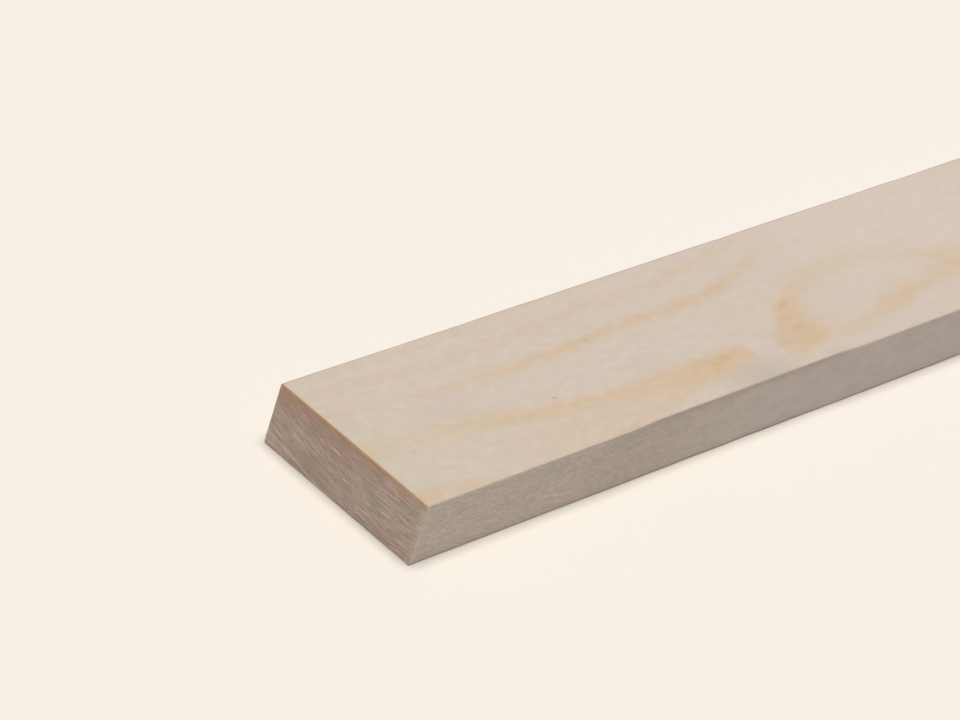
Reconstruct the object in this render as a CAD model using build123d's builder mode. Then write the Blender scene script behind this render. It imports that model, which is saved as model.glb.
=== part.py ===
# A planed softwood plank, one length of solid timber lying flat.
#
# Millimetres, +Z up. The origin is the middle of the underside.
# +X runs along the length, +Y across the width, and the underside lies on Z = 0.

from build123d import *
import os

# Driving dimensions
plank_length = 1800.0
plank_width = 94.0
plank_thickness = 32.0
arris_radius = 0.8

# The easing of a long edge stays well inside the thinner side of the section
largest_easing = 0.25 * min(plank_width, plank_thickness)
eased_radius = min(arris_radius, largest_easing)

# The planed section, seen on the sawn end: square faces, with all four corners eased.
# The length is one straight run of that section between two square saw cuts, which stay sharp.
with BuildPart() as plank:
    with BuildSketch(Plane.YZ.offset(-plank_length / 2)) as section:
        Rectangle(plank_width, plank_thickness, align=(Align.CENTER, Align.MIN))
        fillet(section.vertices(), radius=eased_radius)
    extrude(amount=plank_length)

plank.part.label = "plank"

os.makedirs("parts", exist_ok=True)
export_step(plank.part, "parts/plank.step")
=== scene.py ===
import math

import bmesh
import bpy
from mathutils import Matrix, Vector


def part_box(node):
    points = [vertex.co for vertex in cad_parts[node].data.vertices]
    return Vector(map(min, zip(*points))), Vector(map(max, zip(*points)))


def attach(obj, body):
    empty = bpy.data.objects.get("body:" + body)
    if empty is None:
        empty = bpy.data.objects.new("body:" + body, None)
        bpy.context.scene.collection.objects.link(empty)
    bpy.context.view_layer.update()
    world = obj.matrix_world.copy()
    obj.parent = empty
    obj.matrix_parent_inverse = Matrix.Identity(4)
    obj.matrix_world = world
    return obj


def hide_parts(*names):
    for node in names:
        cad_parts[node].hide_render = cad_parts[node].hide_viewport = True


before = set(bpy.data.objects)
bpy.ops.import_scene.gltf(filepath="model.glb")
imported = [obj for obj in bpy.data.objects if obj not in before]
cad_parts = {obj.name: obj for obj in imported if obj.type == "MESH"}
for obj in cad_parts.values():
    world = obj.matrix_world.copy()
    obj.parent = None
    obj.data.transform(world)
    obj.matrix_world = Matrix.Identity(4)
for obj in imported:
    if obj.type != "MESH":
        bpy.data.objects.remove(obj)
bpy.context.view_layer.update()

# The plank's place and size, in metres, all taken from the frame.
# +X runs along the length from the shown end, +Y across to the back edge, and +Z is up.
LOWEST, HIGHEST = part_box("plank")
LENGTH, WIDTH, THICKNESS = HIGHEST - LOWEST
MIDDLE = (LOWEST + HIGHEST) / 2

# Sizes of the machining and of the growth, in metres
ARRIS = 0.0008
RING_PITCH = 0.0019
# down to this depth, the rings are counted as on a level face
LEVEL_DEPTH = 0.0002

# How deep each kind of relief can be, in metres
PLANER_RIPPLE = 0.0001
ARRIS_WEAR = 0.0004
BRUISE_DEPTH = 0.0007
TORN_STREAKS = 0.00045
TORN_CRUMBS = 0.00018
TORN_LINES = 0.00008
TORN_AT_RIM = 0.0008
# how far from its corner or edge each of these has gone, and how near it is at its deepest, in metres
WEAR_SPREAD = (0.0045, 0.0004)
BRUISE_SPREAD = (0.008, 0.001)
RIM_SPREAD = (0.0014, 0.0001)

# The net of faces that carries the relief: its gaps in metres, and the cuts of its long stretch
NET_ACROSS = 0.001
NET_UP = 0.0003
NET_FROM_END = (0.0004, 0.001, 0.002, 0.004, 0.008)
NET_LONG_CUTS = 119

# A face belongs to an end or to a narrow edge when its normal points that way at least this much
SQUARE_ON = 0.8

# The figure of the wide face, as the growth rings cut it.
# Stations are counted in plank widths from the shown end, up to FIGURE_REACH.
FIGURE_REACH = 5.0
# where the rings turn over, in widths from the back edge
HEART_LINE = (
    (0.0, 0.750), (0.3, 0.775), (0.6, 0.82), (0.9, 0.847), (1.2, 0.853), (1.5, 0.855), (1.8, 0.828),
    (2.1, 0.805), (2.4, 0.795), (2.6, 0.83), (2.7, 0.825), (2.8, 0.78), (2.87, 0.745), (2.95, 0.722),
    (3.1, 0.692), (3.4, 0.633), (3.7, 0.610), (4.0, 0.632), (4.35, 0.675), (5.0, 0.70),
)
# how fast the rings follow each other away from that line, in rings per square width
TIGHTNESS = (
    (0.0, 5.6), (0.3, 5.5), (0.6, 5.35), (0.9, 4.9), (1.2, 4.6), (1.5, 4.42), (2.1, 4.66), (2.4, 4.9),
    (2.5, 4.3), (2.6, 3.83), (2.7, 3.9), (2.8, 4.66), (2.9, 5.1), (3.15, 5.2), (3.25, 5.4), (3.5, 6.4),
    (4.0, 5.2), (5.0, 4.6),
)
# how far the innermost ring stands above the face on that line, in rings
RISE = (
    (0.0, 0.205), (0.3, 0.172), (0.6, 0.20), (0.9, 0.128), (1.2, 0.085), (1.5, 0.045), (1.8, 0.024),
    (2.1, 0.008), (2.4, -0.002), (2.47, -0.008), (2.54, -0.09), (2.64, -0.03), (2.7, 0.010), (2.8, 0.030),
    (2.87, 0.072), (2.95, 0.098), (3.1, 0.160), (3.4, 0.268), (3.6, 0.25), (3.8, 0.145), (4.0, 0.058),
    (4.2, 0.010), (4.35, 0.0), (4.6, -0.1), (5.0, -0.2),
)
# how strongly the innermost ring is coloured: on its back side, on its near side, and all over inside.
# These stations are on the scale of STRENGTHS, and WHOLE_COLOUR is the strength of a full band.
STRENGTHS = (0.0, 2.0)
WHOLE_COLOUR = 1.5
BACK_LINE = (
    (0.0, 0.65), (0.3, 0.65), (0.6, 0.95), (0.75, 1.15), (0.9, 1.4), (1.1, 1.2), (1.5, 1.25), (2.1, 1.6),
    (2.45, 1.8), (2.52, 1.0), (2.7, 1.1), (2.8, 1.7), (2.95, 1.85), (3.1, 1.05), (3.25, 0.8), (3.4, 0.7),
    (3.7, 0.5), (4.0, 0.55), (4.2, 0.75), (5.0, 0.5),
)
NEAR_LINE = (
    (0.0, 1.4), (0.15, 1.3), (0.3, 0.9), (0.5, 0.4), (0.7, 0.25), (1.2, 0.55), (1.5, 0.95), (1.8, 0.9),
    (2.1, 1.4), (2.45, 1.6), (2.52, 0.8), (2.7, 1.1), (2.85, 1.6), (2.95, 1.1), (3.05, 0.8), (3.15, 1.0),
    (3.4, 0.95), (3.6, 1.25), (3.75, 1.2), (3.9, 0.95), (4.2, 1.15), (5.0, 0.5),
)
FILLING = (
    (0.0, 0.0), (0.5, 0.1), (0.75, 0.35), (1.5, 0.6), (1.8, 0.9), (2.0, 1.4), (2.3, 1.6), (2.42, 2.0),
    (2.5, 0.8), (2.7, 1.25), (2.8, 1.5), (2.88, 1.75), (2.95, 1.5), (3.03, 0.8), (3.1, 0.42), (3.18, 0.15),
    (3.3, 0.0), (3.9, 0.0), (4.2, 0.75), (5.0, 0.0),
)
# the same for the second ring
SECOND_LINE = (
    (0.0, 0.75), (0.3, 0.35), (0.45, 0.3), (0.6, 0.55), (0.9, 0.65), (1.1, 0.95), (1.3, 0.9), (1.5, 1.3),
    (1.7, 1.05), (2.1, 1.0), (2.3, 1.2), (2.5, 1.25), (2.6, 1.05), (2.75, 1.45), (2.87, 0.85), (2.95, 0.9),
    (3.1, 0.75), (3.25, 0.4), (3.5, 0.05), (5.0, 0.0),
)
# how orange the innermost ring's back side is: 0 is olive, and soft, and 1 is orange, and crisper
WARMTH = (
    (0.0, 0.1), (0.5, 0.2), (0.75, 0.6), (1.0, 0.8), (1.3, 1.0), (2.9, 1.0), (3.1, 0.6), (3.25, 0.3),
    (3.4, 0.15), (4.0, 0.15), (4.25, 0.8), (5.0, 0.5),
)

# Marks on the top face: each one's place, in widths from the shown end and from the back edge,
# its reach along and across, and its strength
SMUDGES = (
    ((2.40, 0.96), (0.20, 0.10), 0.62),
    ((2.93, 1.00), (0.10, 0.05), 0.30),
    ((1.11, 0.06), (0.03, 0.04), 0.25),
    ((0.62, 0.46), (0.13, 0.08), 0.20),
    ((1.83, 0.64), (0.10, 0.06), 0.12),
    ((2.75, 0.77), (0.12, 0.08), 0.14),
)
SPECKS = (
    ((1.197, 0.644), (0.011, 0.011), 0.36),
    ((0.23, 0.665), (0.014, 0.014), 0.12),
    ((1.70, 0.357), (0.016, 0.016), 0.16),
)
SMUDGE_SOFTNESS = 0.95
SPECK_SOFTNESS = 0.6

# Where the near top arris is bruised, in widths from the shown end: each pair goes from sound to bruised
BRUISE_STARTS = (1.38, 1.58)
BRUISE_ENDS = (3.12, 2.92)


def screen(red, green, blue):
    """The linear colour, as a shader takes it, of a colour given in 0 to 255 screen values."""
    return (*(((value / 255 + 0.055) / 1.055) ** 2.4 for value in (red, green, blue)), 1.0)


# Nodes

def wire(tree, kind, inputs=None, **settings):
    """Adds a node, sets its options, and gives each listed input a value or a link."""
    node = tree.nodes.new(kind)
    for name, value in settings.items():
        setattr(node, name, value)
    for key, value in (inputs or {}).items():
        if isinstance(value, bpy.types.NodeSocket):
            tree.links.new(value, node.inputs[key])
        else:
            node.inputs[key].default_value = value
    return node


def maths(tree, operation, first, second=0.0):
    return wire(tree, "ShaderNodeMath", {0: first, 1: second}, operation=operation).outputs[0]


def combined(tree, operation, values):
    """The values taken together, one after the other."""
    result = values[0]
    for value in values[1:]:
        result = maths(tree, operation, result, value)
    return result


def total(tree, *values):
    return combined(tree, "ADD", values)


def product(tree, *values):
    return combined(tree, "MULTIPLY", values)


def clamped(tree, value, lowest, highest):
    return wire(tree, "ShaderNodeClamp", {0: value, 1: lowest, 2: highest}).outputs[0]


def fade(tree, value, start, end, low=0.0, high=1.0):
    """Turns smoothly from low, where value is at start, to high, where it is at end."""
    ends = {"Value": value, "From Min": start, "From Max": end, "To Min": low, "To Max": high}
    return wire(tree, "ShaderNodeMapRange", ends, interpolation_type="SMOOTHSTEP").outputs[0]


def noise(tree, position, sizes, detail=2.0, roughness=0.5):
    """Soft noise from 0 to 1, with patches of the given sizes along the position's three axes."""
    counts = tuple(1 / size for size in sizes)
    scaled = wire(tree, "ShaderNodeVectorMath", {0: position, 1: counts}, operation="MULTIPLY").outputs[0]
    inputs = {"Vector": scaled, "Scale": 1.0, "Detail": detail, "Roughness": roughness}
    return wire(tree, "ShaderNodeTexNoise", inputs).outputs[0]


def along_curve(tree, along, stations, lowest, highest):
    """A value that follows listed stations along the plank, on a scale from lowest to highest."""
    reach = maths(tree, "MINIMUM", maths(tree, "DIVIDE", along, FIGURE_REACH), 1.0)
    node = wire(tree, "ShaderNodeFloatCurve", {"Value": reach})
    points = node.mapping.curves[0].points
    while len(points) < len(stations):
        points.new(0.5, 0.5)
    for point, (station, value) in zip(points, stations):
        point.location = (station / FIGURE_REACH, (value - lowest) / (highest - lowest))
        point.handle_type = "AUTO_CLAMPED"
    node.mapping.update()
    scaled = maths(tree, "MULTIPLY", node.outputs[0], highest - lowest)
    return maths(tree, "ADD", scaled, lowest)


def blend(tree, amount, low, high):
    """low where amount is 0, and high where it is 1."""
    # a Mix node takes its plain numbers at inputs 2 and 3
    return wire(tree, "ShaderNodeMix", {"Factor": amount, 2: low, 3: high}).outputs[0]


def tinted(tree, amount, colour, tint):
    """colour where amount is 0, and tint where it is 1."""
    # a Mix node takes its colours at inputs 6 and 7, and gives their mix at output 2
    inputs = {"Factor": amount, 6: colour, 7: tint}
    return wire(tree, "ShaderNodeMix", inputs, data_type="RGBA").outputs[2]


def tinted_by(tree, measure, colour, *tints):
    """colour under tints that come in as a measure changes. Each tint is its colour, its strength,
    the measure where it starts, and the measure where it is all there."""
    for tint, strength, start, end in tints:
        colour = tinted(tree, product(tree, fade(tree, measure, start, end), strength), colour, tint)
    return colour


def new_group(name, kind, inputs, outputs):
    """An empty node group with the given sockets, as its tree, its inputs and its outputs."""
    tree = bpy.data.node_groups.new(name, kind)
    for in_out, sockets in (("INPUT", inputs), ("OUTPUT", outputs)):
        for socket_name, socket_type in sockets.items():
            tree.interface.new_socket(socket_name, in_out=in_out, socket_type="NodeSocket" + socket_type)
    return tree, tree.nodes.new("NodeGroupInput").outputs, tree.nodes.new("NodeGroupOutput").inputs


def use_group(tree, group, inputs):
    """Places a node group with these links to its inputs, and gives its outputs."""
    node = tree.nodes.new(tree.bl_idname.replace("Tree", "Group"))
    node.node_tree = group
    for key, value in inputs.items():
        tree.links.new(value, node.inputs[key])
    return node.outputs


def growth_rings(kind):
    """Where a point lies among the growth rings of the tree that the plank was sawn from.
    The pith is above the top face, so the rings hang below it in shallow troughs.

    Along and Across are in widths from the shown end and from the back edge, and Depth is in
    thicknesses below the top face. Rings counts rings outwards from the innermost one, Number is
    the nearest ring, and Past Line is how far past that ring's line the point is, in rings. Spread
    is how many rings follow each other in a width there. Near Side is 1 on the near side of the
    line where the rings turn over, and Chance is each ring's own random share."""
    measures = ("Along", "Across", "Depth", "Rings", "Number", "Past Line", "Spread", "Near Side", "Chance")
    outputs = dict.fromkeys(measures, "Float")
    tree, given, result = new_group("Growth rings", kind, {"Position": "Vector"}, outputs)
    place = wire(tree, "ShaderNodeSeparateXYZ", {0: given["Position"]}).outputs
    along = maths(tree, "DIVIDE", maths(tree, "SUBTRACT", place[0], LOWEST.x), WIDTH)
    across = maths(tree, "DIVIDE", maths(tree, "SUBTRACT", HIGHEST.y, place[1]), WIDTH)
    depth = maths(tree, "DIVIDE", maths(tree, "SUBTRACT", HIGHEST.z, place[2]), THICKNESS)
    sunk = maths(tree, "MAXIMUM", maths(tree, "SUBTRACT", depth, LEVEL_DEPTH / THICKNESS), 0.0)

    # past the figured stretch, the rings wander on by themselves
    wander = fade(tree, along, FIGURE_REACH - 0.5, FIGURE_REACH + 1.0)
    drift = maths(tree, "SUBTRACT", noise(tree, given["Position"], (0.33, 5.0, 5.0), 0.0), 0.65)
    climb = maths(tree, "SUBTRACT", noise(tree, given["Position"], (0.42, 7.0, 7.0), 1.0), 0.4)
    heart = along_curve(tree, along, HEART_LINE, 0.0, 1.0)
    heart = maths(tree, "ADD", heart, product(tree, wander, drift, 1.1))
    rise = along_curve(tree, along, RISE, -1.0, 1.0)
    rise = maths(tree, "ADD", rise, product(tree, wander, climb, 4.0))
    tightness = along_curve(tree, along, TIGHTNESS, 0.0, 10.0)

    # no ring is quite smooth: it sways by about a millimetre across, and less up and down
    sway = maths(tree, "SUBTRACT", noise(tree, given["Position"], (0.02, 0.02, 0.01), 2.0), 0.5)
    swayed = maths(tree, "ADD", across, maths(tree, "MULTIPLY", sway, 0.04))
    heave = maths(tree, "SUBTRACT", noise(tree, given["Position"], (0.03, 0.012, 0.02), 3.0), 0.5)
    sunk = maths(tree, "ADD", maths(tree, "MULTIPLY", sunk, THICKNESS / RING_PITCH),
                 product(tree, heave, fade(tree, depth, 0.01, 0.15), 0.9))
    past_heart = maths(tree, "SUBTRACT", swayed, heart)
    off_heart = maths(tree, "ABSOLUTE", past_heart)
    rings = maths(tree, "SUBTRACT", product(tree, tightness, off_heart, off_heart), rise)
    rings = maths(tree, "ADD", rings, sunk)
    number = maths(tree, "ROUND", rings)

    past_line = maths(tree, "SUBTRACT", rings, number)
    spread = product(tree, tightness, off_heart, 2.0)
    near_side = fade(tree, past_heart, -0.01, 0.01)
    chance = wire(tree, "ShaderNodeTexWhiteNoise", {"W": number}, noise_dimensions="1D").outputs[0]
    values = (along, across, depth, rings, number, past_line, spread, near_side, chance)
    for name, value in zip(measures, values):
        tree.links.new(value, result[name])
    return tree


def late_wood(tree, past_line, outer, inner):
    """1 on a ring line, gone outer rings beyond it on the bark side and inner rings short of it."""
    beyond = fade(tree, past_line, 0.0, outer, 1.0, 0.0)
    short = fade(tree, past_line, 0.0, maths(tree, "MULTIPLY", inner, -1.0), 1.0, 0.0)
    return product(tree, beyond, short)


def fibres():
    """Fine streaks along the grain, and two slower drifts of colour, all about 0.5."""
    outputs = dict.fromkeys(("Streaks", "Drift", "Blush"), "Float")
    tree, given, result = new_group("Wood fibres", "ShaderNodeTree", {"Position": "Vector"}, outputs)
    position = given["Position"]
    tree.links.new(noise(tree, position, (0.045, 0.0008, 0.0008), 4.0, 0.65), result["Streaks"])
    tree.links.new(noise(tree, position, (0.014, 0.007, 0.007), 3.0), result["Drift"])
    # the blush reads another stretch of the noise than the drift does
    away = (3.1, 1.7, 0.9)
    moved = wire(tree, "ShaderNodeVectorMath", {0: position, 1: away}, operation="ADD").outputs[0]
    tree.links.new(noise(tree, moved, (0.016, 0.009, 0.006), 2.0), result["Blush"])
    return tree


def saw_marks(kind):
    """The torn end grain: broken streaks and lines that follow the rings, and fine crumbs."""
    extra_curl = 3.6
    lines_per_ring = 1.35
    inputs = {"Position": "Vector", "Across": "Float", "Rings": "Float"}
    outputs = dict.fromkeys(("Streaks", "Lines", "Crumbs"), "Float")
    tree, given, result = new_group("Saw marks", kind, inputs, outputs)
    # inside the wood the rings curl more tightly than at the face
    heart_at_end = HEART_LINE[0][1]
    off_heart = maths(tree, "SUBTRACT", given["Across"], heart_at_end)
    curled = maths(tree, "ADD", given["Rings"], product(tree, off_heart, off_heart, extra_curl))
    lie = wire(tree, "ShaderNodeCombineXYZ", {0: given["Across"], 1: curled}).outputs[0]
    tree.links.new(noise(tree, lie, (0.12, 0.40, 1.0), 4.0, 0.58), result["Streaks"])

    counted = maths(tree, "MULTIPLY", curled, lines_per_ring)
    past_line = maths(tree, "SUBTRACT", counted, maths(tree, "ROUND", counted))
    patchy = fade(tree, noise(tree, lie, (0.13, 1.6, 1.0), 2.0), 0.40, 0.62)
    tree.links.new(product(tree, late_wood(tree, past_line, 0.25, 0.45), patchy), result["Lines"])
    tree.links.new(noise(tree, given["Position"], (0.002, 0.0014, 0.0007), 3.0, 0.7), result["Crumbs"])
    return tree


def spot(tree, along, across, place, reach, softness):
    """1 inside a round mark on the wide face, fading out at its edge."""
    ahead = maths(tree, "DIVIDE", maths(tree, "SUBTRACT", along, place[0]), reach[0])
    aside = maths(tree, "DIVIDE", maths(tree, "SUBTRACT", across, place[1]), reach[1])
    away = maths(tree, "SQRT", maths(tree, "ADD", product(tree, ahead, ahead), product(tree, aside, aside)))
    return fade(tree, away, 1.0 + softness, 1.0 - softness)


def bruised(tree, along):
    """1 on the stretch where the near top arris was knocked and worn, which also darkens there with painted
    shade.
    """
    return product(tree, fade(tree, along, *BRUISE_STARTS), fade(tree, along, *BRUISE_ENDS))


def new_material(name, roughness, specular):
    """A new material, its node tree, and the shader that is all it has so far."""
    material = bpy.data.materials.new(name)
    material.use_nodes = True
    tree = material.node_tree
    shader = tree.nodes["Principled BSDF"]
    shader.inputs["Roughness"].default_value = roughness
    shader.inputs["Specular IOR Level"].default_value = specular
    return material, tree, shader


def object_position(tree):
    """The point's place on the plank, which stays with the plank when it moves."""
    return wire(tree, "ShaderNodeTexCoord").outputs["Object"]


def join_shader(tree, shader, colour, height, deepest):
    """Gives the shader its colour, and its finest relief, at most deepest metres deep, as a bump."""
    tree.links.new(colour, shader.inputs["Base Color"])
    bump = wire(tree, "ShaderNodeBump", {"Height": height, "Distance": deepest, "Strength": 0.6})
    tree.links.new(bump.outputs[0], shader.inputs["Normal"])


# The wide faces

FACE_WOOD = screen(211, 195, 180)
FACE_BRIGHT = screen(215, 199, 185)
FACE_AT_CUT = screen(208, 193, 176)
ORANGE_BAND = screen(211, 183, 150)
OLIVE_BAND = screen(207, 187, 150)
DEEP_BAND = screen(206, 174, 134)
FACE_GREYER = screen(207, 196, 181)
FACE_PINKER = screen(217, 197, 184)
FACE_STREAK = screen(188, 170, 150)
DARK_FLECK = screen(192, 176, 160)
LIGHT_FLECK = screen(228, 213, 199)
SMUDGE = screen(186, 175, 161)
SPECK = screen(140, 124, 108)
# worn wood with painted shade, for the strip along the bruised near arris
RUBBED_AND_SHADED_FACE = screen(178, 164, 148)
FACE_RESIN = screen(204, 172, 138)
# painted shade on the back arris
BACK_ARRIS_SHADE = screen(172, 154, 145)


def figure_strength(tree, rings, wander):
    """How strongly the wide face is coloured by the ring line that a point is nearest to."""
    along = rings["Along"]
    innermost = blend(tree, rings["Near Side"], along_curve(tree, along, BACK_LINE, *STRENGTHS),
                      along_curve(tree, along, NEAR_LINE, *STRENGTHS))
    second = along_curve(tree, along, SECOND_LINE, *STRENGTHS)
    third = fade(tree, along, 3.4, 2.9, 0.0, 0.55)
    fourth = fade(tree, along, 2.3, 1.8, 0.0, 0.32)
    by_chance = maths(tree, "ADD", maths(tree, "MULTIPLY", rings["Chance"], 0.8), 0.2)
    figured, unlisted = 0.0, 1.0
    for number, strength in enumerate((innermost, second, third, fourth)):
        here = maths(tree, "COMPARE", rings["Number"], float(number))
        figured = maths(tree, "ADD", product(tree, here, strength), figured)
        unlisted = maths(tree, "SUBTRACT", unlisted, here)
    figured = maths(tree, "ADD", figured, product(tree, unlisted, by_chance))
    return blend(tree, wander, figured, by_chance)


def face_bands(tree, rings, drift):
    """How strongly the wide face is banded at a point, and how olive its band is."""
    along = rings["Along"]
    wander = fade(tree, along, FIGURE_REACH - 0.5, FIGURE_REACH + 0.5)

    # the innermost ring's back side is olive and soft in places, and all else is orange and crisper
    innermost = maths(tree, "COMPARE", rings["Number"], 0.0)
    back_side = maths(tree, "SUBTRACT", 1.0, rings["Near Side"])
    coolness = maths(tree, "SUBTRACT", 1.0, along_curve(tree, along, WARMTH, 0.0, 1.0))
    olive = product(tree, innermost, back_side, coolness)
    softness = maths(tree, "ADD", maths(tree, "MULTIPLY", olive, 1.6), 1.0)
    blur = maths(tree, "MULTIPLY", rings["Spread"], softness)
    outer = clamped(tree, maths(tree, "MULTIPLY", blur, 0.065), 0.03, 0.34)
    inner = clamped(tree, maths(tree, "MULTIPLY", blur, 0.080), 0.10, 0.41)
    # on the near side of the island, the colour trails off inwards
    trail = product(tree, rings["Near Side"], fade(tree, along, 3.40, 3.55), fade(tree, along, 3.92, 3.70))
    inner = maths(tree, "ADD", inner, product(tree, innermost, trail, 0.16))
    line = late_wood(tree, rings["Past Line"], outer, inner)

    # in places the whole inside of the innermost ring is filled with its colour
    inside = product(tree, fade(tree, rings["Rings"], 0.03, -0.02), maths(tree, "SUBTRACT", 1.0, wander))
    filling = product(tree, inside, along_curve(tree, along, FILLING, *STRENGTHS))
    strength = maths(tree, "MAXIMUM", product(tree, line, figure_strength(tree, rings, wander)), filling)
    uneven = fade(tree, drift, 0.25, 0.75, 0.8, 1.2)
    return product(tree, strength, uneven, 1 / WHOLE_COLOUR), olive


def mark_top(tree, rings, colour):
    """colour under the smudges, the specks and the darker strip along the bruised near arris, worn and with
    painted shade, which only the top face has.
    """
    along, across = rings["Along"], rings["Across"]
    on_top = fade(tree, rings["Depth"], 0.6, 0.4)
    for marks, softness, tint in ((SMUDGES, SMUDGE_SOFTNESS, SMUDGE), (SPECKS, SPECK_SOFTNESS, SPECK)):
        for place, reach, strength in marks:
            mark = product(tree, spot(tree, along, across, place, reach, softness), on_top, strength)
            colour = tinted(tree, mark, colour, tint)
    # the strip along the bruised near arris is darker: worn wood and painted shade
    rubbed_and_shaded = product(tree, bruised(tree, along), fade(tree, across, 0.980, 0.998), on_top, 0.5)
    return tinted(tree, rubbed_and_shaded, colour, RUBBED_AND_SHADED_FACE)


def planed_face(rings_group, fibre_group):
    """The two wide planed faces: pale, with soft olive and orange bands where the rings are cut."""
    material, tree, shader = new_material("Planed wide face", roughness=0.72, specular=0.25)
    position = object_position(tree)
    rings = use_group(tree, rings_group, {"Position": position})
    grain = use_group(tree, fibre_group, {"Position": position})
    along, across = rings["Along"], rings["Across"]

    # the wood is brighter from the island on, away from the near edge, and duller at the shown end
    bright = product(tree, fade(tree, along, 2.9, 3.9), fade(tree, across, 0.85, 0.5))
    wood = tinted(tree, bright, FACE_WOOD, FACE_BRIGHT)
    wood = tinted_by(tree, along, wood, (FACE_AT_CUT, 1.0, 0.4, 0.0))
    amount, olive = face_bands(tree, rings, grain["Drift"])
    band = tinted(tree, olive, ORANGE_BAND, OLIVE_BAND)
    # the late wood is deepest at the tips
    band = tinted_by(tree, amount, band, (DEEP_BAND, 1.0, 1.0, 1.3))
    colour = tinted(tree, amount, wood, band)

    colour = tinted_by(tree, grain["Blush"], colour,
                       (FACE_GREYER, 0.25, 0.45, 0.75), (FACE_PINKER, 0.25, 0.55, 0.25))
    colour = tinted_by(tree, grain["Streaks"], colour, (FACE_STREAK, 0.14, 0.35, 0.75))
    fleck = noise(tree, position, (0.008, 0.004, 0.004), 2.0)
    flecked = fade(tree, along, 1.8, 3.0, 0.17, 0.12)
    colour = tinted_by(tree, fleck, colour,
                       (DARK_FLECK, flecked, 0.45, 0.75), (LIGHT_FLECK, flecked, 0.55, 0.25))
    colour = mark_top(tree, rings, colour)

    # resin shows along the saw cut, and the back arris is a faint dark line of painted shade
    resin = product(tree, fade(tree, along, 0.014, 0.003), fade(tree, grain["Drift"], 0.3, 0.6, 0.35, 0.75))
    colour = tinted(tree, resin, colour, FACE_RESIN)
    colour = tinted_by(tree, across, colour, (BACK_ARRIS_SHADE, 0.7, 0.016, 0.004))
    join_shader(tree, shader, colour, grain["Streaks"], 0.00004)
    return material


# The narrow edges

EDGE_WOOD = screen(202, 190, 179)
EDGE_DULL = screen(188, 176, 167)
EDGE_FARTHER = screen(201, 191, 189)
EDGE_GREYER = screen(188, 180, 166)
EDGE_PINKER = screen(211, 191, 183)
EDGE_RING_LINE = screen(172, 156, 140)
FUZZ_IN_SHADE = screen(176, 163, 149)
FUZZ_IN_LIGHT = screen(226, 212, 199)
# worn wood with painted shade, for the top of the near edge along the bruised stretch
RUBBED_AND_SHADED_EDGE = screen(184, 168, 154)
# painted highlight on the corner at the saw cut
EDGE_CUT_CORNER_HIGHLIGHT = screen(222, 208, 194)


def planed_edge(rings_group, fibre_group):
    """The two narrow planed edges, where the rings run as fine lines along the plank."""
    material, tree, shader = new_material("Planed narrow edge", roughness=0.78, specular=0.2)
    position = object_position(tree)
    rings = use_group(tree, rings_group, {"Position": position})
    grain = use_group(tree, fibre_group, {"Position": position})
    along = rings["Along"]

    dull = product(tree, fade(tree, along, 0.8, 1.35), fade(tree, along, 2.3, 1.6), 0.55)
    colour = tinted(tree, dull, EDGE_WOOD, EDGE_DULL)
    colour = tinted_by(tree, along, colour, (EDGE_FARTHER, 0.8, 1.5, 2.9))
    colour = tinted_by(tree, grain["Blush"], colour,
                       (EDGE_GREYER, 0.45, 0.4, 0.75), (EDGE_PINKER, 0.33, 0.6, 0.25))
    line = late_wood(tree, rings["Past Line"], 0.15, 0.4)
    clear = fade(tree, along, 0.3, 2.2, 0.40, 0.12)
    colour = tinted(tree, product(tree, line, rings["Chance"], clear), colour, EDGE_RING_LINE)

    # the fibres dive a little, so that the fuzz which the planer raised leans down along the plank
    dive = 0.2
    place = wire(tree, "ShaderNodeSeparateXYZ", {0: position}).outputs
    leaning = maths(tree, "ADD", place[2], maths(tree, "MULTIPLY", place[0], dive))
    dived = wire(tree, "ShaderNodeCombineXYZ", {0: place[0], 1: place[1], 2: leaning}).outputs[0]
    fuzz = noise(tree, dived, (0.0042, 0.004, 0.0011), 3.0, 0.65)
    rough = fade(tree, along, 0.6, 2.7, 0.45, 0.15)
    colour = tinted_by(tree, fuzz, colour,
                       (FUZZ_IN_SHADE, rough, 0.48, 0.70), (FUZZ_IN_LIGHT, rough, 0.52, 0.30))

    # along the bruised stretch the top of the near edge is darker: worn wood and painted shade
    rubbed_and_shaded = product(tree, bruised(tree, along), fade(tree, rings["Depth"], 0.16, 0.02), 0.7)
    colour = tinted(tree, rubbed_and_shaded, colour, RUBBED_AND_SHADED_EDGE)
    # the corner at the saw cut is paler with a painted highlight
    colour = tinted_by(tree, along, colour, (EDGE_CUT_CORNER_HIGHLIGHT, 0.22, 0.04, 0.004))
    join_shader(tree, shader, colour, fuzz, 0.00006)
    return material


# The sawn ends

END_WOOD = screen(199, 179, 166)
END_LOW_CORNER = screen(208, 197, 188)
END_REDDER = screen(186, 153, 136)
END_RING_LINE = screen(148, 126, 110)
# the torn streaks' own colour, with painted shade in the deeper tears and painted light on the raised ones
DARK_STREAK_AND_PAINTED_SHADE = screen(160, 139, 123)
LIGHT_STREAK_AND_PAINTED_LIGHT = screen(236, 220, 206)
DARK_CRUMB = screen(158, 142, 126)
LIGHT_CRUMB = screen(226, 210, 196)
END_GREYER = screen(176, 167, 152)
END_PINKER = screen(205, 174, 167)
END_DULL = screen(180, 157, 140)
TORN_LINE = screen(236, 224, 214)
SOAKED_END = screen(196, 158, 130)
RESIN_RIM = screen(216, 182, 142)
# painted highlight on the near corner of the end
END_NEAR_RIM_HIGHLIGHT = screen(220, 205, 190)


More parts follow.
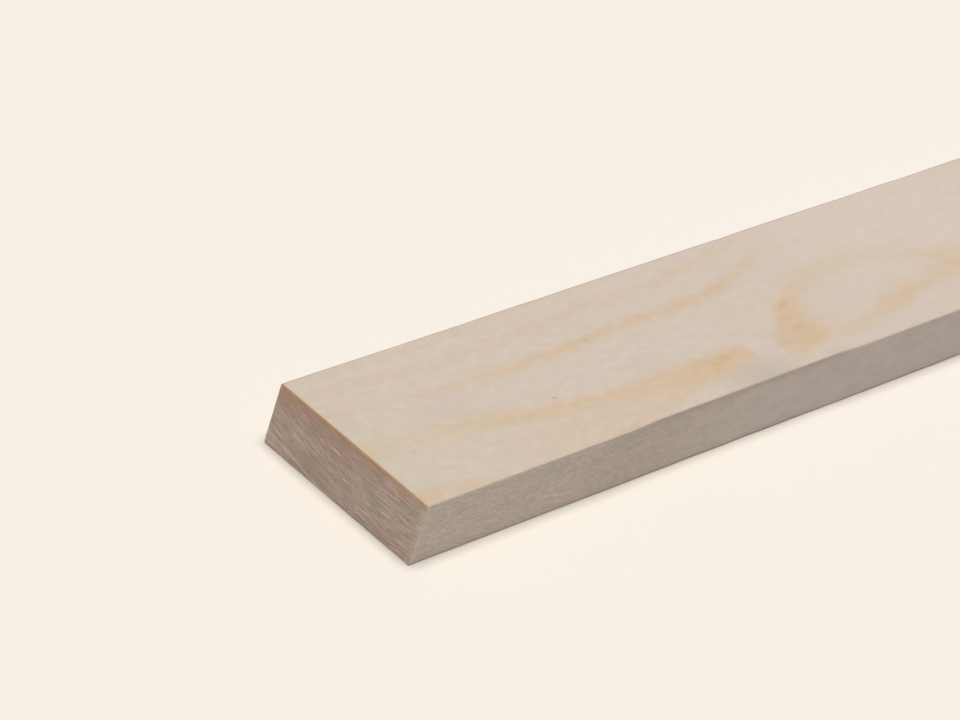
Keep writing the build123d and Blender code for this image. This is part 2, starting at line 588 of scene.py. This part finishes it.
def sawn_end(rings_group, saw_group, fibre_group):
    """The rough sawn ends: browner end grain, streaked along its rings, with resin under the top face."""
    material, tree, shader = new_material("Sawn end grain", roughness=0.9, specular=0.1)
    position = object_position(tree)
    rings = use_group(tree, rings_group, {"Position": position})
    across, depth = rings["Across"], rings["Depth"]
    saw = use_group(tree, saw_group, {"Position": position, "Across": across, "Rings": rings["Rings"]})
    grain = use_group(tree, fibre_group, {"Position": position})

    # the ground: the lower back corner is paler and greyer, and the upper back is redder
    corner = maths(tree, "ADD", depth, maths(tree, "MULTIPLY", across, -0.52))
    colour = tinted_by(tree, corner, END_WOOD, (END_LOW_CORNER, 0.7, 0.70, 0.86))
    reddish = product(tree, fade(tree, across, 0.75, 0.45), fade(tree, depth, 0.5, 0.15))
    colour = tinted(tree, product(tree, reddish, 0.5), colour, END_REDDER)

    colour = tinted(tree, product(tree, saw["Lines"], 0.75), colour, END_RING_LINE)
    # the torn streaks: their own darker and lighter grain, with painted shade where the saw tore deeper and
    # painted light where they stand
    colour = tinted_by(tree, saw["Streaks"], colour,
                       (DARK_STREAK_AND_PAINTED_SHADE, 0.85, 0.50, 0.70), (LIGHT_STREAK_AND_PAINTED_LIGHT, 0.85, 0.50, 0.30))
    colour = tinted_by(tree, saw["Crumbs"], colour,
                       (DARK_CRUMB, 0.6, 0.5, 0.75), (LIGHT_CRUMB, 0.5, 0.5, 0.25))
    colour = tinted_by(tree, grain["Blush"], colour,
                       (END_GREYER, 0.55, 0.5, 0.7), (END_PINKER, 0.55, 0.5, 0.3))

    # over the streaks: the same redder place, a dull one below it, and a pale torn line at the corner
    colour = tinted(tree, product(tree, reddish, 0.32), colour, END_REDDER)
    low_back = product(tree, fade(tree, across, 0.1, 0.2), fade(tree, across, 0.5, 0.3),
                       fade(tree, depth, 0.6, 0.75))
    colour = tinted(tree, product(tree, low_back, 0.5), colour, END_DULL)
    torn = product(tree, fade(tree, corner, 0.775, 0.80), fade(tree, corner, 0.825, 0.80), 0.6)
    colour = tinted(tree, torn, colour, TORN_LINE)

    # resin soaks raggedly down from the top face, the top rim is lighter with resin, and the near rim is
    # lighter with a painted highlight
    uneven = maths(tree, "SUBTRACT", grain["Drift"], 0.5)
    ragged = maths(tree, "ADD", depth, maths(tree, "MULTIPLY", uneven, 0.25))
    streaky = fade(tree, saw["Streaks"], 0.30, 0.62, 0.35, 0.75)
    soaked = product(tree, fade(tree, ragged, 0.20, 0.03), streaky)
    colour = tinted(tree, soaked, colour, SOAKED_END)
    colour = tinted_by(tree, depth, colour, (RESIN_RIM, 0.6, 0.07, 0.01))
    colour = tinted_by(tree, across, colour, (END_NEAR_RIM_HIGHLIGHT, 0.32, 0.955, 0.994))
    join_shader(tree, shader, colour, saw["Crumbs"], 0.0001)
    return material


# Modelling

def select_edges(piece, wanted):
    """In edit mode, selects just the edges that the test wants, given their two ends."""
    bpy.ops.mesh.select_mode(type="EDGE")
    bpy.ops.mesh.select_all(action="DESELECT")
    mesh = bmesh.from_edit_mesh(piece.data)
    for edge in mesh.edges:
        if wanted(*(vertex.co for vertex in edge.verts)):
            edge.select_set(True)
    bmesh.update_edit_mesh(piece.data)


def cut_across(axis, places):
    """In edit mode, cuts the whole piece right through at each place along the axis."""
    for place in places:
        bpy.ops.mesh.select_all(action="SELECT")
        point, normal = [0.0] * 3, [0.0] * 3
        point[axis], normal[axis] = place, 1.0
        bpy.ops.mesh.bisect(plane_co=point, plane_no=normal)


def spaced(start, end, gap):
    """Places between start and end, evenly spaced, and no more than gap apart."""
    count = math.ceil((end - start) / gap)
    return [start + (end - start) * step / count for step in range(1, count)]


def runs_along(first, second, longer_than=0.0):
    """True for an edge between two points that runs along the plank, and is long enough."""
    return (first - second).length > longer_than and abs(first.x - second.x) > 0.99 * (first - second).length


def model_plank():
    """One block with eased arrises, cut into a net that is fine enough for its relief."""
    bpy.ops.object.select_all(action="DESELECT")
    bpy.ops.mesh.primitive_cube_add(size=1, location=MIDDLE, scale=(LENGTH, WIDTH, THICKNESS))
    plank = bpy.context.object
    plank.name = plank.data.name = "sawn_plank"
    bpy.ops.object.transform_apply(location=True, rotation=True, scale=True)

    bpy.ops.object.mode_set(mode="EDIT")
    select_edges(plank, runs_along)
    bpy.ops.mesh.bevel(offset=ARRIS, segments=3, profile=0.5, affect="EDGES")
    cut_across(1, spaced(LOWEST.y + ARRIS, HIGHEST.y - ARRIS, NET_ACROSS))
    cut_across(2, spaced(LOWEST.z + ARRIS, HIGHEST.z - ARRIS, NET_UP))
    for from_end in NET_FROM_END:
        cut_across(0, (LOWEST.x + from_end, HIGHEST.x - from_end))
    # by now only the stretch between the end cuts is this long
    select_edges(plank, lambda first, second: runs_along(first, second, LENGTH / 2))
    bpy.ops.mesh.subdivide(number_cuts=NET_LONG_CUTS)
    bpy.ops.object.mode_set(mode="OBJECT")
    return plank


def worn_arris(tree, position, corner):
    """How deep a long arris is worn at a point, given its corner of the section, in metres."""
    place = wire(tree, "ShaderNodeSeparateXYZ", {0: position}).outputs
    aside = maths(tree, "ABSOLUTE", maths(tree, "SUBTRACT", place[1], corner[0]))
    below = maths(tree, "ABSOLUTE", maths(tree, "SUBTRACT", place[2], corner[1]))
    close = fade(tree, maths(tree, "ADD", aside, below), *WEAR_SPREAD)
    knocks = noise(tree, position, (0.03, 0.03, 0.03), 3.0)
    wear = fade(tree, knocks, 0.45, 0.8, 0.0, ARRIS_WEAR)
    return product(tree, close, wear)


def planed_depth(tree, position):
    """How far a planed face or edge lies below its level: barely rippled, and worn at the long arrises."""
    ripple = noise(tree, position, (0.07, 0.02, 0.02), 1.0)
    corners = [(y, z) for y in (LOWEST.y, HIGHEST.y) for z in (LOWEST.z, HIGHEST.z)]
    wear = [worn_arris(tree, position, corner) for corner in corners]
    return total(tree, maths(tree, "MULTIPLY", ripple, PLANER_RIPPLE), *wear)


def inside_of(tree, value, lowest, highest):
    """How far a value is from the nearer of its two limits."""
    from_lowest = maths(tree, "SUBTRACT", value, lowest)
    from_highest = maths(tree, "SUBTRACT", highest, value)
    return maths(tree, "MINIMUM", from_highest, from_lowest)


def torn_depth(tree, place, saw):
    """How deep the saw tore an end: the softer streaks came out, and a little more inside its rim."""
    from_edge = maths(tree, "MINIMUM", inside_of(tree, place[1], LOWEST.y, HIGHEST.y),
                      inside_of(tree, place[2], LOWEST.z, HIGHEST.z))
    at_rim = product(tree, fade(tree, from_edge, *RIM_SPREAD), saw["Crumbs"], TORN_AT_RIM)
    streaks = product(tree, saw["Streaks"], TORN_STREAKS)
    crumbs = product(tree, saw["Crumbs"], TORN_CRUMBS)
    lines = product(tree, saw["Lines"], TORN_LINES)
    return total(tree, streaks, crumbs, lines, at_rim)


def bruise_depth(tree, place, along):
    """How far the near edge is pushed in: hollow along the bruised stretch, most of all at its top."""
    height = maths(tree, "DIVIDE", maths(tree, "SUBTRACT", place[2], LOWEST.z), THICKNESS)
    gone, deepest = (LOWEST.y + distance for distance in BRUISE_SPREAD)
    return product(tree, bruised(tree, along), fade(tree, place[1], gone, deepest), height, BRUISE_DEPTH)


def carve_relief(plank, rings_group, saw_group):
    """Tears the sawn ends along their rings, wears the long arrises, and hollows the bruised near edge."""
    kinds = {"Geometry": "Geometry"}
    tree, given, result = new_group("Sawn and planed relief", "GeometryNodeTree", kinds, kinds)
    position = wire(tree, "GeometryNodeInputPosition").outputs[0]
    normal = wire(tree, "GeometryNodeInputNormal").outputs[0]
    place = wire(tree, "ShaderNodeSeparateXYZ", {0: position}).outputs
    facing = wire(tree, "ShaderNodeSeparateXYZ", {0: normal}).outputs
    rings = use_group(tree, rings_group, {"Position": position})
    end_inputs = {"Position": position, "Across": rings["Across"], "Rings": rings["Rings"]}
    saw = use_group(tree, saw_group, end_inputs)

    end_face = fade(tree, maths(tree, "ABSOLUTE", facing[0]), SQUARE_ON, 0.95)
    depth = blend(tree, end_face, planed_depth(tree, position), torn_depth(tree, place, saw))
    inward = wire(tree, "ShaderNodeVectorMath", {0: normal, "Scale": maths(tree, "MULTIPLY", depth, -1.0)},
                  operation="SCALE").outputs[0]
    pushed = wire(tree, "ShaderNodeCombineXYZ", {1: bruise_depth(tree, place, rings["Along"])}).outputs[0]
    offset = wire(tree, "ShaderNodeVectorMath", {0: inward, 1: pushed}, operation="ADD").outputs[0]
    moved = wire(tree, "GeometryNodeSetPosition", {"Geometry": given["Geometry"], "Offset": offset})
    tree.links.new(moved.outputs[0], result["Geometry"])

    modifier = plank.modifiers.new("Relief", "NODES")
    modifier.node_group = tree
    bpy.ops.object.modifier_apply(modifier=modifier.name)


def finish_surfaces(plank):
    """Gives the wide faces, the narrow edges and the ends their own finish."""
    rings_group = growth_rings("ShaderNodeTree")
    fibre_group = fibres()
    saw_group = saw_marks("ShaderNodeTree")
    plank.data.materials.append(planed_face(rings_group, fibre_group))
    plank.data.materials.append(planed_edge(rings_group, fibre_group))
    plank.data.materials.append(sawn_end(rings_group, saw_group, fibre_group))
    # the three materials' places on the plank, in the order above
    wide_face, narrow_edge, end = range(3)
    for face in plank.data.polygons:
        face.material_index = wide_face
        if abs(face.normal.x) > SQUARE_ON:
            face.material_index = end
        elif abs(face.normal.y) > SQUARE_ON:
            face.material_index = narrow_edge
    bpy.ops.object.shade_smooth_by_angle(angle=math.radians(40))


# The studio

PAPER = screen(247, 240, 230)
FLOOR_SIZE = 120.0
# the floor is this far below the plank, so that the two don't share a plane
FLOOR_GAP = 0.0002


def pale_paper():
    """The floor's plain matt colour."""
    material, _, shader = new_material("Pale paper", roughness=1.0, specular=0.0)
    shader.inputs["Base Color"].default_value = PAPER
    return material


def lay_floor():
    """A wide level floor, the colour of the paper behind the plank."""
    bpy.ops.object.select_all(action="DESELECT")
    bpy.ops.mesh.primitive_plane_add(size=FLOOR_SIZE, location=(0.0, 0.0, -FLOOR_GAP))
    floor = bpy.context.object
    floor.name = "floor"
    floor.data.materials.append(pale_paper())


def light_studio():
    """A broad soft lamp straight above, and an even white sky. Together they light a level face at
    full level, and the upright faces get the sky and only a little of the lamp."""
    sky = 0.26
    lamp = bpy.data.lights.new("High soft lamp", "SUN")
    lamp.angle = math.radians(24)
    # a sun of strength pi lights a level face fully, and the sky does the rest
    lamp.energy = math.pi * (1 - sky)
    holder = bpy.data.objects.new("High soft lamp", lamp)
    bpy.context.scene.collection.objects.link(holder)

    world = bpy.data.worlds.new("Studio")
    world.use_nodes = True
    bpy.context.scene.world = world
    tree = world.node_tree
    tree.nodes.clear()
    # what the camera, a reflection or glass sees of the world is the paper
    path = wire(tree, "ShaderNodeLightPath").outputs
    seen = maths(tree, "MAXIMUM", path["Is Camera Ray"], path["Is Glossy Ray"])
    seen = maths(tree, "MAXIMUM", seen, path["Is Transmission Ray"])
    lighting = wire(tree, "ShaderNodeBackground", {"Color": (1.0, 1.0, 1.0, 1.0), "Strength": sky})
    paper = wire(tree, "ShaderNodeBackground", {"Color": PAPER, "Strength": 1.0})
    both = wire(tree, "ShaderNodeMixShader", {0: seen, 1: lighting.outputs[0], 2: paper.outputs[0]})
    wire(tree, "ShaderNodeOutputWorld", {"Surface": both.outputs[0]})


def place_camera():
    """The photograph's view: a long lens that looks down on the plank from beside its shown end."""
    width_px, height_px = 960, 720
    focal_px = 4400
    elevation, heading, roll = math.radians(32.5), math.radians(35.275), math.radians(18.316)
    # where the near top corner of the shown end lies in the picture
    corner = Vector((LOWEST.x, LOWEST.y, HIGHEST.z))
    corner_px = (428.3, 506.7)
    distance = 19.663 * WIDTH

    forward = Vector((math.cos(elevation) * math.cos(heading), math.cos(elevation) * math.sin(heading),
                      -math.sin(elevation)))
    level_right = forward.cross(Vector((0.0, 0.0, 1.0))).normalized()
    turn = Matrix.Rotation(-roll, 3, forward)
    right = turn @ level_right
    down = forward.cross(right)
    aside = (corner_px[0] - width_px / 2) / focal_px
    below = (corner_px[1] - height_px / 2) / focal_px
    place = corner - distance * (forward + aside * right + below * down)

    camera = bpy.data.cameras.new("Camera")
    camera.sensor_width = 36.0
    camera.lens = camera.sensor_width * focal_px / width_px
    camera.clip_end = 100.0
    holder = bpy.data.objects.new("Camera", camera)
    bpy.context.scene.collection.objects.link(holder)
    turned = Matrix((right, -down, -forward)).transposed()
    holder.matrix_world = Matrix.Translation(place) @ turned.to_4x4()
    bpy.context.scene.camera = holder


plank = model_plank()
carve_relief(plank, growth_rings("GeometryNodeTree"), saw_marks("GeometryNodeTree"))
finish_surfaces(plank)
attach(plank, "root")
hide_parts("plank")

lay_floor()
light_studio()
place_camera()
bpy.context.scene.view_settings.view_transform = "Standard"
